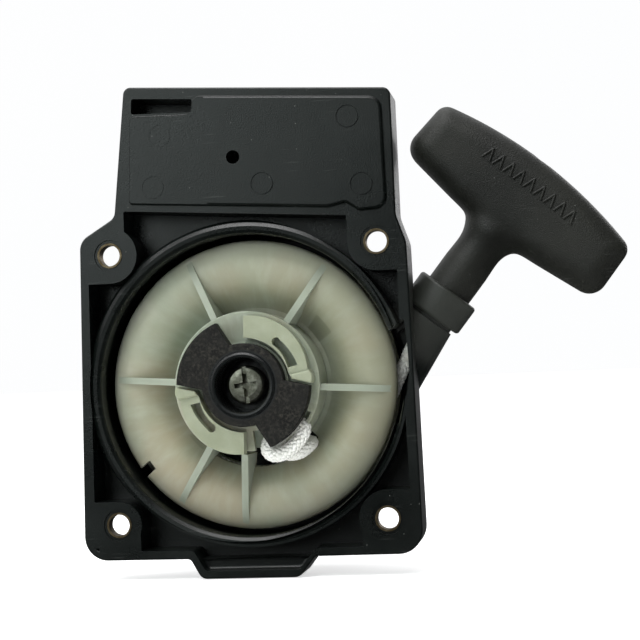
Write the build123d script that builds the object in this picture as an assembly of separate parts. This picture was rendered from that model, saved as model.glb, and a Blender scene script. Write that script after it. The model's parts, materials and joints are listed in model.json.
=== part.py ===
from build123d import *
from math import cos, radians, sin
import os

# Recoil starter of a small two-stroke engine, millimetres.
# X is right and Z is up, seen from the engine. -Y faces the engine, and the flange bolts up at Y = 0.
# The origin is the middle of the four bolt holes, which is also the reel's axis.

# Flange and case
BOLT_SPACING = 74.0          # square bolt pattern
BUSH_BORE_R = 2.9            # clearance for M5
BUSH_R = 3.45
BUSH_BACK = 3.6              # the bushes are short, with a deep seat behind for the bolt's head
SEAT_R = 5.2
SEAT_FRONT = 3.4
SKIRT_DEPTH = 13.0
WALL = 2.5
CAVITY_R = 42.2              # bore round the reel
RING_FRONT = 1.2             # the shroud ring stands a little behind the flange face
RING_WALL = 1.7
BACK_Y = 33.0                # outside of the closed back
POCKET_FLOOR_Y = 10.5
TAB_FLOOR_Y = 4.0
FACE_EDGE = 0.35             # rounding of the walls' front edges
FLOOR_EDGE = 0.8             # rounding at the foot of the walls
BOX_PLATE = 3.2
PLATEAU_H = 1.2

# Centre post, screw and washer
POST_R = 4.0
SLEEVE_R = 5.2
SLEEVE_FRONT = 4.0
SCREW_HEAD_R = 5.25
SCREW_SHANK_R = 2.95
FIT = 0.05                   # radial clearance of each running fit

# Reel
REEL_R = 40.0
DECK_R = 20.0
DECK_Y = 1.0
DRUM_R = 22.6                # floor of the rope groove
BACK_FLANGE_Y = 19.2
BACK_FLANGE = 1.8
RIB_W = 1.8
HUB_BUSH_R = 6.6

# Rope: four turns in one column, then a straight lead to the guide and the handle
ROPE_R = 2.05
ROPE_Y = 16.6
WINDING_TOP_R = 35.7
WINDING_STEP = 3.6
TURNS = 4
LEAD_ANGLE = 26.0            # from vertical
LEAD_START = 19.0            # along the lead from where it leaves the winding
HANDLE_ANGLE = 38.8          # from vertical
HANDLE_OFFSET = 27.8         # from the reel's axis to the handle's axis

# Cam plate and pawls
CAM_RING_R = 11.2
CAM_WING_R = 18.2
CAM_FRONT = -5.0
CAM_BACK = -1.2
CAM_BORE_R = 7.4
PAWL_FRONT = -3.4
PAWL_BACK = 0.7
PIVOT_RADIUS = 15.6
PIVOT_ANGLE = 10.0
PIVOT_STUB_R = 1.45

# Handle, measured along its own axis from the foot of the reel axis
COLLAR_LOW = 44.2
COLLAR_TOP = 52.9
COLLAR_R = 9.1
NECK = 1.0                   # shadow gap between the tube and the collar
STEM_R = 6.6
STEM_LOW = 48.9
GRIP_LOW = 72.2
GRIP_TOP = 96.2
GRIP_HALF = 33.4
GRIP_DEPTH = 17.0
GRIP_TILT = 2.5


# ---------- helpers ----------

def seen(y):
    """Plane across the reel's axis at depth y, with +X right and +Z up."""
    return Plane(origin=(0, y, 0), x_dir=(1, 0, 0), z_dir=(0, -1, 0))


def slab(sketch, y_front, y_back):
    return extrude(seen(y_back) * sketch, amount=y_back - y_front)


def disc(radius, y_front, y_back, x=0.0, z=0.0):
    return slab(Pos(x, z) * Circle(radius), y_front, y_back)


def tube(r_out, r_in, y_front, y_back, x=0.0, z=0.0):
    return slab(Pos(x, z) * (Circle(r_out) - Circle(r_in)), y_front, y_back)


def turned(*points):
    """Solid of revolution about the reel's axis from (radius, y) points."""
    return revolve(make_face(Polyline(*points, close=True)), axis=Axis.Y)


def at(radius, degrees):
    return (radius * cos(radians(degrees)), radius * sin(radians(degrees)))


def rounded(corners):
    """Closed outline from (x, z, corner radius) entries."""
    points = [(x, z) for x, z, r in corners]
    return make_face(FilletPolyline(*points, radius=[r for x, z, r in corners], close=True))


def sector(r_in, r_out, a0, a1):
    """Ring sector between two angles in degrees."""
    mid = (a0 + a1) / 2
    edges = [
        Line(at(r_in, a0), at(r_out, a0)),
        ThreePointArc(at(r_out, a0), at(r_out, mid), at(r_out, a1)),
        Line(at(r_out, a1), at(r_in, a1)),
        ThreePointArc(at(r_in, a1), at(r_in, mid), at(r_in, a0)),
    ]
    return make_face(edges)


def soften(part, edges, radius):
    """Round the edges if the kernel can, or leave them sharp."""
    try:
        result = fillet(edges, radius)
    except Exception:
        return part
    return result if result.is_valid and result.volume > 0 else part


def soften_loops(part, y, radius):
    """Round the edges of every opening in the flat face at depth y, one loop at a time."""
    def front_loops(body):
        flat = [f for f in body.faces().filter_by(Axis.Y) if abs(f.center().Y - y) < 0.01]
        return [loop for face in flat for loop in face.inner_wires()]

    for centre in [loop.center() for loop in front_loops(part)]:
        nearest = min(front_loops(part), key=lambda loop: (loop.center() - centre).length)
        part = soften(part, nearest.edges(), radius)
    return part


def round_corners(face, radius):
    """Round each corner of a flat face that has room for the radius."""
    for corner in [Vector(*v) for v in face.vertices()]:
        nearest = min(face.vertices(), key=lambda v: (Vector(*v) - corner).length)
        try:
            rounder = fillet(nearest, radius)
        except Exception:
            continue
        if rounder.area > 0.8 * face.area:
            face = rounder
    return face


# Handle frame: local x runs across the stem, local y along it, away from the reel
ALONG = (sin(radians(HANDLE_ANGLE)), 0, cos(radians(HANDLE_ANGLE)))
ACROSS = (cos(radians(HANDLE_ANGLE)), 0, -sin(radians(HANDLE_ANGLE)))


def handle_point(along, across=0.0, y=ROPE_Y):
    side = HANDLE_OFFSET + across
    return Vector(ALONG[0] * along + ACROSS[0] * side, y, ALONG[2] * along + ACROSS[2] * side)


def handle_plane(y=ROPE_Y):
    return Plane(origin=handle_point(0, 0, y), x_dir=ACROSS, z_dir=(0, -1, 0))


def on_handle_axis(*points):
    """Solid of revolution about the handle's axis from (radius, along) points."""
    face = handle_plane() * make_face(Polyline(*points, close=True))
    return revolve(face, axis=Axis(handle_point(0), Vector(*ALONG)))


# ---------- case ----------

PADS = ((7.7, 4.4), (7.8, 7.8), (6.4, 6.0), (7.7, 7.0))     # radius and half width, hole by hole
PAD_REACH = 14.0
POCKET_CORNER = 0.9
HOLES = [(sx * BOLT_SPACING / 2, sz * BOLT_SPACING / 2) for sz in (1, -1) for sx in (-1, 1)]


def case_outline():
    return rounded([
        (-31.3, 83.3, 2.0), (42.5, 78.2, 2.2), (42.6, 44.0, 6.0), (45.1, 36.5, 6.0),
        (46.2, -46.5, 6.5), (17.0, -46.6, 1.5), (12.6, -52.1, 3.0), (-14.4, -52.1, 2.5),
        (-17.4, -46.7, 1.5), (-47.1, -46.6, 6.5), (-45.4, 41.4, 4.5), (-35.3, 47.4, 3.0),
    ])


def box_area():
    """Everything above the slanted wall between the flange and the top box."""
    return rounded([(-60, 52.6, 1.0), (60, 43.8, 1.0), (60, 100, 1.0), (-60, 100, 1.0)])


def pocket_area():
    """The dark pockets between the outer wall, the shroud ring and the bolt pads."""
    inner = rounded([
        (-32.6, 49.0, 1.5), (31.0, 44.3, 1.5), (42.4, 36.0, 1.5), (42.3, 20.0, 6.0), (43.5, -44.0, 1.5),
        (17.2, -44.4, 1.2), (12.8, -50.0, 1.5), (-13.2, -50.0, 1.5), (-16.4, -44.4, 1.2),
        (-43.9, -44.0, 1.5), (-43.2, 32.0, 1.5),
    ])
    pads = Sketch()
    for (x, z), (radius, half_width) in zip(HOLES, PADS):
        sx = 1 if x > 0 else -1
        sz = 1 if z > 0 else -1
        pads += Pos(x, z) * Circle(radius)
        pads += Pos(x + sx * PAD_REACH / 2, z) * Rectangle(PAD_REACH, 2 * radius)
        pads += Pos(x, z + sz * PAD_REACH / 2) * Rectangle(2 * half_width, PAD_REACH)
    area = inner - pads - Circle(CAVITY_R + RING_WALL)
    soft = Sketch()
    for face in area.faces():
        if face.area > 8:
            soft += round_corners(face, POCKET_CORNER)
    return soft


def pocket_cutter(area, floor):
    """Pocket down to a floor that meets its walls in a small round."""
    cutter = Part()
    for face in area.faces():
        block = slab(face, -1.0, floor)
        cutter += soften(block, block.faces().sort_by(Axis.Y)[-1].edges(), FLOOR_EDGE)
    return cutter


def rope_guide_tube():
    """Tapered tube that carries the rope from the reel to the collar."""
    return on_handle_axis((0, 20.0), (10.2, 20.0), (7.6, COLLAR_LOW - NECK), (0, COLLAR_LOW - NECK))


def rope_fan():
    """Room for the rope as it swings from the full winding to the empty drum."""
    gate = Vector(*rope_corner())
    full = Vector(*lead_point(LEAD_START - 11))
    empty = Vector(38.0, 0, 6.5)
    pts = [(full.X + 2.6, full.Z - 1.6), (gate.X + 2.4, gate.Z - 1.5), (gate.X + 0.6, gate.Z + 3.6),
           (empty.X - 1.0, empty.Z + 4.4), (empty.X - 6.0, empty.Z - 2.0)]
    return slab(make_face(Polyline(*pts, close=True)), ROPE_Y - 3.0, ROPE_Y + 3.0)


def rope_gap():
    """Gap in the shroud ring, out to the flange's wall, where the rope leaves the reel."""
    outline = rounded([
        (37.0, 11.0, 1.0), (40.4, 13.9, 0.3), (43.4, 16.8, 0.8), (44.1, 9.7, 0.5), (44.4, 2.0, 1.0),
        (43.6, -3.6, 1.5), (42.3, -6.0, 1.0), (40.8, -12.0, 0.5), (37.0, -12.0, 1.0),
    ])
    return slab(outline, -1.0, 14.5)


def drum_back():
    """Closed back of the case: a stepped lid with a raised hub and blind ribs."""
    back = turned((0, BACK_Y - WALL), (CAVITY_R, BACK_Y - WALL), (CAVITY_R, RING_FRONT + 1.0),
                  (CAVITY_R + 0.7, RING_FRONT), (CAVITY_R + 1.4, RING_FRONT + 0.5),
                  (CAVITY_R + 1.8, RING_FRONT + 2.0), (CAVITY_R + 2.2, 28.0),
                  (CAVITY_R - 0.5, BACK_Y - 1.6), (CAVITY_R - 3.4, BACK_Y), (0, BACK_Y))
    back += turned((0, BACK_Y - 0.5), (15.0, BACK_Y - 0.5), (14.0, BACK_Y + 1.6), (0, BACK_Y + 1.6))
    rib = Pos(26.0, 0) * Rectangle(21.0, 1.8)
    for k in range(16):
        back += slab(Rot(0, 0, k * 22.5) * rib, BACK_Y - 0.5, BACK_Y + 1.0)
    return back


def shoulder():
    """Rounded shoulder of the shroud ring, widest at the upper left and running out to nothing."""
    crown = turned((CAVITY_R - 1.2, 6.0), (CAVITY_R - 1.2, 2.3), (CAVITY_R - 0.8, 1.5), (CAVITY_R, 0.9),
                   (CAVITY_R + 1.0, 0.8), (CAVITY_R + 2.0, 1.3), (CAVITY_R + 2.8, 2.4), (CAVITY_R + 3.1, 6.0))
    crescent = Pos(-2.0, 1.4) * Circle(CAVITY_R + 1.6) - Circle(CAVITY_R - 1)
    return crown & slab(crescent, 0, 7)


def box_back():
    """Rear of the top box: edge wall, stiffening ribs and the pods of the slot and the blind hole."""
    area = case_outline() & box_area()
    rim = area - offset(area, -2.4)
    ribs = Sketch()
    for x in (-12.0, 6.0, 24.0):
        ribs += Pos(x, 64) * Rectangle(1.6, 60)
    ribs += Pos(5, 63.5) * Rectangle(90, 1.6)
    part = slab(rim, BOX_PLATE - 0.5, SKIRT_DEPTH)
    part += slab(ribs & area, BOX_PLATE - 0.5, SKIRT_DEPTH - 4.0)
    part += slab(rounded([(-32.4, 82.6, 1), (-9.6, 81.0, 1), (-10.0, 72.4, 1), (-33.0, 73.0, 1)]) & area,
                 BOX_PLATE - 0.5, SKIRT_DEPTH - 1.0)
    part += disc(4.2, BOX_PLATE - 0.5, SKIRT_DEPTH - 1.0, -1.0, 61.9)
    return part


def plateau_outline():
    return rounded([
        (-30.6, 50.9, 1.0), (-29.5, 74.7, 1.0), (-12.3, 74.3, 2.0), (-11.6, 79.3, 2.0), (39.8, 75.7, 3.4),
        (40.2, 45.9, 3.2), (33.0, 45.6, 1.2), (29.4, 48.0, 1.2), (24.6, 47.0, 1.5),
    ])


def plateau():
    """Raised face of the top box, notched round the slot and the upper right bolt pad."""
    raised = slab(plateau_outline(), -PLATEAU_H, 1.0)
    raised = soften(raised, raised.faces().sort_by(Axis.Y)[0].edges(), 0.6)
    step = slab(rounded([(-40, 40, 1), (-8.6, 40, 1), (-8.6, 90, 1), (-40, 90, 1)]), -3.0, -PLATEAU_H + 0.2)
    raised -= step
    for x, z in ((-21.2, 68.9), (-23.6, 54.9), (6.8, 54.2), (30.8, 70.9), (33.9, 52.5)):
        raised -= tube(3.1, 2.85, -3.0, -PLATEAU_H + 0.32, x, z)
    return raised


def starter_case():
    outline = case_outline()
    case = slab(outline, 0, BOX_PLATE)
    case = soften(case, case.faces().sort_by(Axis.Y)[0].outer_wire().edges(), 0.5)
    case += slab(outline - box_area(), BOX_PLATE, SKIRT_DEPTH)
    case += box_back()
    case += plateau()
    tab = rounded([(-30, -47.0, 1), (30, -47.0, 1), (30, -60, 1), (-30, -60, 1)])
    case -= disc(CAVITY_R + 1.0, -1.0, SKIRT_DEPTH + 1.0)
    case -= disc(CAVITY_R + RING_WALL, -1.0, RING_FRONT)
    case -= pocket_cutter(pocket_area() - tab, POCKET_FLOOR_Y)
    case -= pocket_cutter(pocket_area() & tab, TAB_FLOOR_Y)
    case = soften_loops(case, 0, FACE_EDGE)
    case += drum_back()
    case += shoulder()
    case += rope_guide_tube() - disc(CAVITY_R + 0.5, -5, 40)
    case -= rope_gap()
    case -= rope_fan()
    case -= on_handle_axis((0, 33.5), (2.9, 33.5), (2.9, 37.4), (0, 37.4))
    case -= on_handle_axis((0, 37.3), (4.3, 37.3), (4.3, COLLAR_LOW + 1), (0, COLLAR_LOW + 1))
    tube_top = COLLAR_LOW - NECK
    collar_room = COLLAR_R + 0.3
    case -= on_handle_axis((0, tube_top), (collar_room, tube_top), (collar_room, 70), (0, 70))
    case += disc(POST_R, SLEEVE_FRONT + 0.3, BACK_Y - 1.0)
    case += disc(8.0, 29.6, BACK_Y - 1.0)
    case -= disc(SCREW_SHANK_R + 0.05, 0, 21.0)
    for x, z in HOLES:
        outward = 2.2 if x > 0 else -2.2
        seat = Pos(x, z) * Circle(SEAT_R) + Pos(x + outward, z) * Circle(SEAT_R - 0.4)
        case -= slab(seat, SEAT_FRONT, 20.0)
        case -= disc(BUSH_R, -1.0, 20.0, x, z)
        case -= disc(BUSH_R + 0.85, -1.0, 0.35, x, z)
    slot = rounded([(-29.2, 79.9, 0.6), (-12.0, 78.7, 0.6), (-12.5, 75.1, 0.6), (-29.4, 75.6, 0.6)])
    case -= slab(slot, -3.0, SKIRT_DEPTH - 3.0)
    case -= disc(1.85, -3.0, SKIRT_DEPTH - 3.0, -1.0, 61.9)
    return case


def mounting_bushes():
    """Four short metal bushes that take the bolt load off the plastic."""
    parts = []
    for x, z in HOLES:
        bush = tube(BUSH_R, BUSH_BORE_R, 0.05, BUSH_BACK, x, z)
        parts.append(bush)
    return Compound(parts)


def rope_guide_bush():
    """Collar that seats the handle's stem, with a sleeve down inside the tube."""
    seat = COLLAR_LOW - NECK + 0.05
    collar = on_handle_axis((2.7, 40.2), (4.25, 40.2), (4.25, seat), (7.0, seat), (7.0, COLLAR_LOW),
                            (COLLAR_R, COLLAR_LOW), (COLLAR_R, COLLAR_TOP), (STEM_R + 0.4, COLLAR_TOP),
                            (STEM_R + 0.4, STEM_LOW - 0.4), (2.7, STEM_LOW - 0.4))
    rims = collar.edges().filter_by(GeomType.CIRCLE).sort_by(SortBy.RADIUS)[-2:]
    return soften(collar, rims, 0.9)


def rope_eyelet():
    """Steel eyelet where the rope turns into the tube."""
    return on_handle_axis((3.3, 37.5), (4.2, 38.0), (4.2, 40.1), (2.8, 40.1), (2.45, 38.9))


# ---------- centre post ----------

def axle_sleeve():
    return tube(SLEEVE_R, POST_R, SLEEVE_FRONT, 29.5)


def retaining_washer():
    return tube(6.7, SCREW_SHANK_R + 0.15, SLEEVE_FRONT - 1.2, SLEEVE_FRONT)


def centre_screw():
    """Pan head screw with a combined slot and cross."""
    under = SLEEVE_FRONT - 1.2
    head = turned((0, -1.15), (3.2, -1.05), (4.5, -0.85), (4.95, -0.45), (SCREW_HEAD_R, 0.3),
                  (SCREW_HEAD_R, under), (0, under))
    cross = Rectangle(6.1, 1.25) + Rectangle(1.25, 6.1) + Rot(0, 0, 45) * Rectangle(2.4, 2.4)
    slot = Rectangle(1.2, 12)
    head -= slab(Rot(0, 0, 5) * cross, -2, 1.5)
    head -= slab(Rot(0, 0, 5) * slot, -2, -0.35)
    return head + disc(SCREW_SHANK_R, under - 0.2, 20.0)


# ---------- recoil spring ----------

SPRING_FRONT = 22.6
SPRING_BACK = 28.9
SPRING_CUP_R = 39.8
STRIP = 0.6


def spring_cup():
    """Tray that holds the spring against the case's back."""
    return turned((9.5, 29.4), (37.6, 29.4), (37.6, 22.2), (SPRING_CUP_R, 22.2), (SPRING_CUP_R, 30.4),
                  (9.5, 30.4))


def spring_cover():
    """Thin plate between the spring and the reel."""
    return tube(SPRING_CUP_R, 9.6, 21.4, 22.1)


def recoil_spring():
    """Flat steel spiral made of half turns, hooked to the hub and to the cup."""
    pitch = 3.4
    first = 11.2
    halves = 15
    strip = Sketch()
    for k in range(halves):
        radius = first + k * pitch / 2
        middle = (-pitch / 4 if k % 2 else pitch / 4)
        turn = Circle(radius + STRIP) - Circle(radius)
        keep = Pos(0, 50 if k % 2 == 0 else -50) * Rectangle(200, 100)
        strip += (Pos(middle, 0) * turn) & keep
    spring = slab(strip, SPRING_FRONT, SPRING_BACK)
    return spring


# ---------- reel ----------

RIB_ANGLES = (56, 116, 176, 236, 265, 356)
DISH = [(20.0, 14.4), (21.4, 14.2), (23.0, 13.0), (24.6, 11.4), (26.4, 9.8), (28.4, 8.5), (30.6, 7.7),
        (32.8, 7.4), (35.0, 7.6), (37.0, 8.2), (38.6, 9.0)]      # the front flange is a rolled, convex ring


def reel_shell():
    """Front flange, drum, back flange and hub, turned in one profile."""
    front = [(DECK_R, DECK_Y), *DISH, (39.6, 9.9), (REEL_R, 10.7), (REEL_R, 11.9), (38.0, 11.2), (35.4, 10.3),
             (32.4, 10.1), (29.6, 10.9), (27.0, 12.6), (25.4, 14.0), (DRUM_R, 14.5)]
    groove = [(DRUM_R, BACK_FLANGE_Y), (REEL_R, BACK_FLANGE_Y), (REEL_R, BACK_FLANGE_Y + BACK_FLANGE)]
    spring_side = [(9.0, BACK_FLANGE_Y + BACK_FLANGE), (9.0, 28.8), (HUB_BUSH_R, 28.8)]
    hollow = [(HUB_BUSH_R, 7.2), (9.4, 7.2), (9.4, -0.8), (11.8, -0.8), (11.8, DECK_Y)]
    return turned(*front, *groove, *spring_side, *hollow)


def reel_lightening():
    """Hollow between the deck and the drum, open to the rope window."""
    return turned((11.4, 3.2), (18.0, 3.2), (18.0, 17.4), (11.4, 17.4))


def reel_rib(degrees):
    profile = Polyline((19.0, 2.4), (32.0, 5.9), (36.2, 7.4), (38.2, 8.8), (37, 9.2), (33, 8.6), (29, 9.4),
                       (25, 13), (22, 15), (19, 15), close=True)
    blade = extrude(make_face(profile), amount=RIB_W / 2, both=True)
    return Rot(0, -degrees, 0) * blade


def reel():
    body = reel_shell() - reel_lightening()
    window = slab(sector(18.0, DRUM_R + 0.4, 236, 318), -1.0, BACK_FLANGE_Y + BACK_FLANGE + 1.0)
    knot_room = slab(sector(12.6, 19.0, 275, 335), -1.0, 6.6)
    body -= window
    body -= knot_room
    for degrees in RIB_ANGLES:
        body += reel_rib(degrees)
    notch = Rot(0, 0, 216) * (Pos(38.6, 0) * Rectangle(5.2, 3.0))
    body -= slab(notch, 0, BACK_FLANGE_Y - 1)
    for turn in (0, 180):
        x, z = at(PIVOT_RADIUS, PIVOT_ANGLE + turn)
        body -= disc(PIVOT_STUB_R + FIT, -2, 3.6, x, z)
    hook = slab(Rot(0, 0, 40) * (Pos(8.6, 0) * Rectangle(1.6, 1.4)), SPRING_FRONT, 29.0)
    body -= hook
    return body


def reel_hub_bush():
    return tube(HUB_BUSH_R, SLEEVE_R + FIT, 7.2, 28.6)


def friction_spring():
    """Dished spring washer that presses the cam plate outwards against the retaining washer."""
    return turned((SLEEVE_R + 0.2, 5.75), (SLEEVE_R + 0.2, 6.15), (8.6, 7.1), (8.6, 6.7))


# ---------- cam plate and pawls ----------

def cam_wing():
    """One wing with slanted flanks."""
    mid = 146.0
    edges = [
        Line(at(CAM_RING_R - 1.5, 103.6), at(CAM_WING_R, 112.3)),
        ThreePointArc(at(CAM_WING_R, 112.3), at(CAM_WING_R, mid), at(CAM_WING_R, 177.5)),
        Line(at(CAM_WING_R, 177.5), at(CAM_RING_R - 1.5, 187.0)),
        ThreePointArc(at(CAM_RING_R - 1.5, 187.0), at(CAM_RING_R - 1.5, mid), at(CAM_RING_R - 1.5, 103.6)),
    ]
    return make_face(edges)


def cam_plate():
    wings = Circle(CAM_RING_R) + cam_wing() + Rot(0, 0, 180) * cam_wing()
    plate = slab(wings, CAM_FRONT, CAM_BACK)
    plate = soften(plate, plate.faces().sort_by(Axis.Y)[0].edges(), 0.25)
    plate -= disc(8.2, -10, 10)
    hub = turned((CAM_BORE_R, 4.3), (CAM_BORE_R, -5.0), (7.7, -5.5), (8.2, -5.6), (8.7, -5.35), (9.0, -4.8),
                 (9.0, 5.5), (SLEEVE_R + FIT, 5.5), (SLEEVE_R + FIT, 4.3))
    return plate + hub


def pawl_outline():
    """Crescent, thick at the tail over its pivot, with a square tip."""
    edges = [
        Line(at(12.7, 88), at(18.55, 88)),
        ThreePointArc(at(18.55, 88), at(19.0, 45), at(17.9, 12)),
        ThreePointArc(at(17.9, 12), at(18.9, 6), at(18.4, -0.5)),
        Line(at(18.4, -0.5), at(13.4, 4.5)),
        Line(at(13.4, 4.5), at(12.7, 13)),
        ThreePointArc(at(12.7, 13), at(12.7, 50), at(12.7, 88)),
    ]
    return make_face(edges)


def pawl_slot():
    edges = [
        Line(at(12.9, 19.0), at(15.6, 17.7)),
        ThreePointArc(at(15.6, 17.7), at(15.6, 34), at(15.6, 48)),
        ThreePointArc(at(15.6, 48), at(14.3, 55), at(13.4, 49)),
        ThreePointArc(at(13.4, 49), at(13.3, 36), at(12.9, 19.0)),
    ]
    return make_face(edges)


def pawl(turn):
    shape = Rot(0, 0, turn)
    body = slab(shape * (pawl_outline() - pawl_slot()), PAWL_FRONT, PAWL_BACK)
    block = slab(shape * (pawl_outline() & sector(10, 22, -3, 10.5)), PAWL_FRONT - 0.9, PAWL_BACK)
    block = soften(block, block.faces().sort_by(Axis.Y)[0].edges(), 0.5)
    x, z = at(PIVOT_RADIUS, PIVOT_ANGLE + turn)
    return body + block + disc(PIVOT_STUB_R, PAWL_BACK - 0.5, 3.1, x, z)


# ---------- rope ----------

def lead_point(along):
    """Point on the line by which the rope leaves the full winding."""
    a = radians(LEAD_ANGLE)
    return (WINDING_TOP_R * cos(a) + along * sin(a), ROPE_Y, -WINDING_TOP_R * sin(a) + along * cos(a))


def rope_corner():
    """Where the lead meets the handle's axis."""
    a = radians(LEAD_ANGLE)
    b = radians(HANDLE_ANGLE)
    det = -cos(a) * sin(b) + sin(a) * cos(b)
    x = (-WINDING_TOP_R * sin(b) + sin(a) * HANDLE_OFFSET) / det
    z = (cos(a) * HANDLE_OFFSET - cos(b) * WINDING_TOP_R) / det
    return (x, ROPE_Y, z)


def rope_along(points, radii):
    path = FilletPolyline(*points, radius=radii)
    section = Plane(origin=path @ 0, z_dir=path % 0) * Circle(ROPE_R)
    return sweep(section, path=path)


def rope_windings():
    turns = Sketch()
    for k in range(TURNS):
        turns += Pos(WINDING_TOP_R - k * WINDING_STEP, ROPE_Y) * Circle(ROPE_R)
    return revolve(turns, axis=Axis.Y)


def rope_lead():
    start = lead_point(LEAD_START)
    end = handle_point(STEM_LOW - 0.7)
    return rope_along([start, rope_corner(), (end.X, end.Y, end.Z)], [24.0])


def rope_reel_knot():
    """The rope's end, brought through the window and looped under a wing of the cam plate."""
    y = 1.5
    loop = rope_along([(2.6, y, -16.4), (6.6, y, -20.2), (14.6, y, -18.6), (14.2, y, -11.4)], [3.2, 3.6])
    return loop + Pos(8.6, 2.9, -16.2) * Sphere(2.9)


def rope_in_handle():
    start = handle_point(STEM_LOW + 0.1)
    return Plane(origin=start, z_dir=ALONG) * extrude(Circle(ROPE_R), amount=84.9 - STEM_LOW)


def rope_handle_knot():
    """Overhand knot that stops the rope above its washer."""
    def lump(along, across, y, radius):
        return Pos(*handle_point(along, across, ROPE_Y + y)) * Sphere(radius)
    return lump(89.3, 0.5, 0.0, 3.1) + lump(88.9, -1.0, 0.9, 2.7) + lump(91.3, -0.4, -0.7, 2.3)


def knot_washer():
    return on_handle_axis((ROPE_R + 0.1, 85.1), (4.1, 85.1), (4.1, 86.0), (ROPE_R + 0.1, 86.0))


# ---------- handle ----------

def grip_outline():
    """T-bar: bowed top, rounded ends, lower edges that rise away from the stem."""
    low = GRIP_LOW
    top = GRIP_TOP
    half = GRIP_HALF
    shoulder_up = top - 4.2
    edges = [
        Line((half, low + 3.2), (8, low)),
        Line((8, low), (-8, low)),
        Line((-8, low), (-half, low + 3.2)),
        Line((-half, low + 3.2), (1.0 - half, shoulder_up)),
        ThreePointArc((1.0 - half, shoulder_up), (0, top), (half - 1.0, shoulder_up)),
        Line((half - 1.0, shoulder_up), (half, low + 3.2)),
    ]
    outline = make_face(edges)
    corners = outline.vertices()
    outline = fillet(corners.filter_by(lambda v: abs(v.X) > 20 and v.Y > low + 10), 3.5)
    return fillet(outline.vertices().filter_by(lambda v: abs(v.X) > 20 and v.Y < low + 4), 5.0)


def handle_grip():
    middle = (GRIP_LOW + GRIP_TOP) / 2
    tilted = Pos(0.6, middle) * Rot(0, 0, -GRIP_TILT) * Pos(0, -middle) * grip_outline()
    half = GRIP_DEPTH / 2
    bar = extrude(handle_plane(ROPE_Y + half) * tilted, amount=GRIP_DEPTH)
    bar = soften(bar, bar.edges().filter_by(lambda e: abs(e.tangent_at(0.5).Y) < 0.5), 6.5)
    stem = on_handle_axis((0, STEM_LOW), (STEM_R - 0.6, STEM_LOW), (STEM_R, STEM_LOW + 0.6),
                          (STEM_R, GRIP_LOW - 4.5), (STEM_R + 0.5, GRIP_LOW - 2.6),
                          (STEM_R + 1.6, GRIP_LOW - 0.9), (STEM_R + 1.8, GRIP_LOW + 2.0), (0, GRIP_LOW + 2.0))
    handle = bar + stem
    bore = ROPE_R + 0.3
    handle -= on_handle_axis((0, STEM_LOW - 1), (bore, STEM_LOW - 1), (bore, 85.05), (0, 85.05))
    handle -= on_handle_axis((0, 85.0), (4.5, 85.0), (4.5, 92.8), (3.0, 94.3), (3.0, GRIP_TOP + 2),
                             (0, GRIP_TOP + 2))
    return handle


# ---------- output ----------

PARTS = {
    "starter_case": starter_case,
    "mounting_bushes": mounting_bushes,
    "rope_guide_bush": rope_guide_bush,
    "rope_eyelet": rope_eyelet,
    "axle_sleeve": axle_sleeve,
    "retaining_washer": retaining_washer,
    "centre_screw": centre_screw,
    "spring_cup": spring_cup,
    "spring_cover": spring_cover,
    "recoil_spring": recoil_spring,
    "reel": reel,
    "reel_hub_bush": reel_hub_bush,
    "friction_spring": friction_spring,
    "cam_plate": cam_plate,
    "pawl_upper": lambda: pawl(0),
    "pawl_lower": lambda: pawl(180),
    "rope_windings": rope_windings,
    "rope_lead": rope_lead,
    "rope_reel_knot": rope_reel_knot,
    "rope_in_handle": rope_in_handle,
    "rope_handle_knot": rope_handle_knot,
    "knot_washer": knot_washer,
    "handle_grip": handle_grip,
}

os.makedirs("parts", exist_ok=True)
for name, make in PARTS.items():
    export_step(make(), f"parts/{name}.step")
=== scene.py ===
import json
from math import cos, hypot, pi, radians, sin

import bmesh
import bpy
from mathutils import Matrix, Vector
from mathutils.bvhtree import BVHTree


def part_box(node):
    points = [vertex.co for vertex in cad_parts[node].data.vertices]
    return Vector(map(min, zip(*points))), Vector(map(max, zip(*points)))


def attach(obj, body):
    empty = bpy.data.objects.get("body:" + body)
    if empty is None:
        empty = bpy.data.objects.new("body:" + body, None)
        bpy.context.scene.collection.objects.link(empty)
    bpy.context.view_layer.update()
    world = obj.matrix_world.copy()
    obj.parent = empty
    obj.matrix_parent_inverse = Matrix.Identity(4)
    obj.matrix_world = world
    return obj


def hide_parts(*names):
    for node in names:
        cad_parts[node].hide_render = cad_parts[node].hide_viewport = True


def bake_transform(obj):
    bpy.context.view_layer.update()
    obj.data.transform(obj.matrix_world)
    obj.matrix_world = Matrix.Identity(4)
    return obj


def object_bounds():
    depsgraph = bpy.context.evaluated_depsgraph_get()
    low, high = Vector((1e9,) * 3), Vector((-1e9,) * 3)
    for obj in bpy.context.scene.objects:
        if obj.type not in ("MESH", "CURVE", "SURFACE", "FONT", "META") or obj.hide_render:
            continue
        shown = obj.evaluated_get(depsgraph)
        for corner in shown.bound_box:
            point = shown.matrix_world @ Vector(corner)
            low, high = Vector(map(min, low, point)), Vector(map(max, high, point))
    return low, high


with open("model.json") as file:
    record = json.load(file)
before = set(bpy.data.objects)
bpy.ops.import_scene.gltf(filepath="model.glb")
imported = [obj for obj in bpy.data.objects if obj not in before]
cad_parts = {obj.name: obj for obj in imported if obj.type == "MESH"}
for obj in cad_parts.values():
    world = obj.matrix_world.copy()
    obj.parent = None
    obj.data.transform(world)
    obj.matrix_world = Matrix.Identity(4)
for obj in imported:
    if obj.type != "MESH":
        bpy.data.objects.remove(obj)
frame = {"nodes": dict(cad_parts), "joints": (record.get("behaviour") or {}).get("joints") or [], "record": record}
cad_low, cad_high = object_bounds()

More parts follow.
